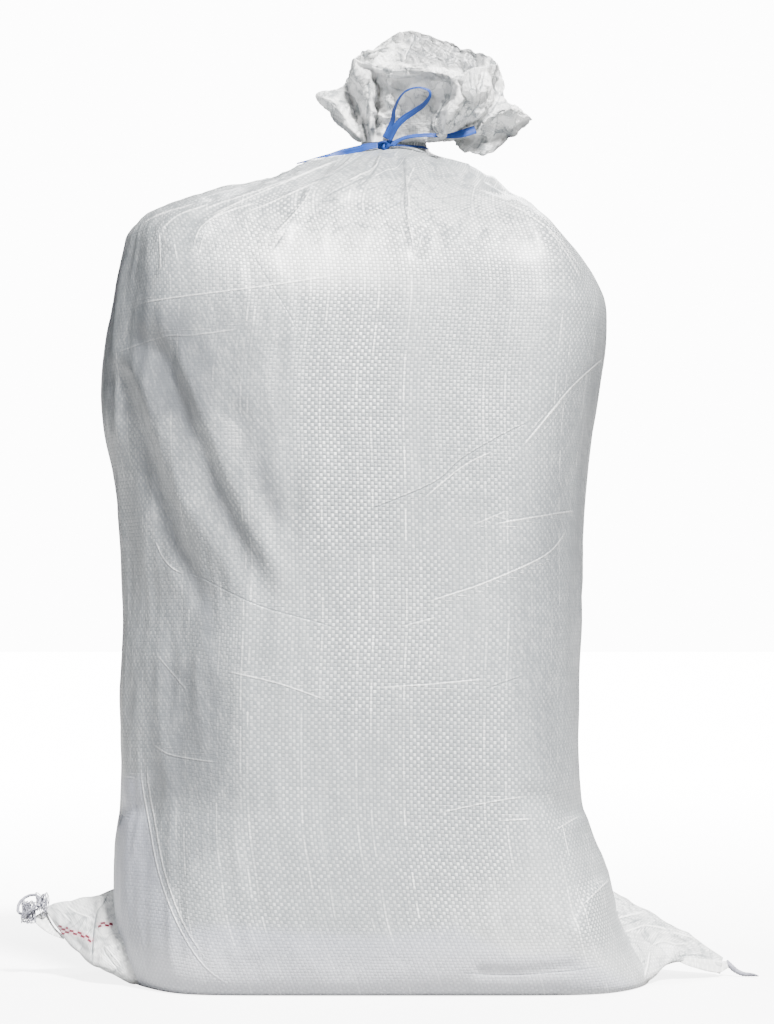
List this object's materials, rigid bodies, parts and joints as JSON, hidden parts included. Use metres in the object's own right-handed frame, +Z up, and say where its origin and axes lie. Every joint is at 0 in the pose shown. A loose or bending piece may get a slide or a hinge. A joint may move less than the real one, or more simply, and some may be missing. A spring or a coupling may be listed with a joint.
{
  "type": "woven polypropylene sack",
  "caption": "Filled white woven polypropylene sack standing upright, its neck gathered and tied with blue tape and its bottom corners spread on the floor.",
  "frame": {"origin": "middle of the sack's bounding box, on the floor it stands on", "axes": "+Z up; -Y is the front, where the knot is; +X is to the right seen from the front"},
  "size_m": [0.5515, 0.3209, 0.7208],
  "materials": {
    "sack_fabric": "plain weave of flat white polypropylene tapes about 2.5 mm wide, satin sheen",
    "tie_tape": "thin blue polypropylene tape, glossy, split lengthwise into fine fibres",
    "seam_thread": "grey twisted sewing thread, matt and frayed at the ends"
  },
  "bodies": {
    "root": {"sack": "sack_fabric", "tie_wrap": "tie_tape", "tie_loop": "tie_tape", "tie_tail_left": "tie_tape", "tie_tail_right": "tie_tape", "thread_tail_left": "seam_thread", "thread_tail_right": "seam_thread"}
  },
  "joints": []
}
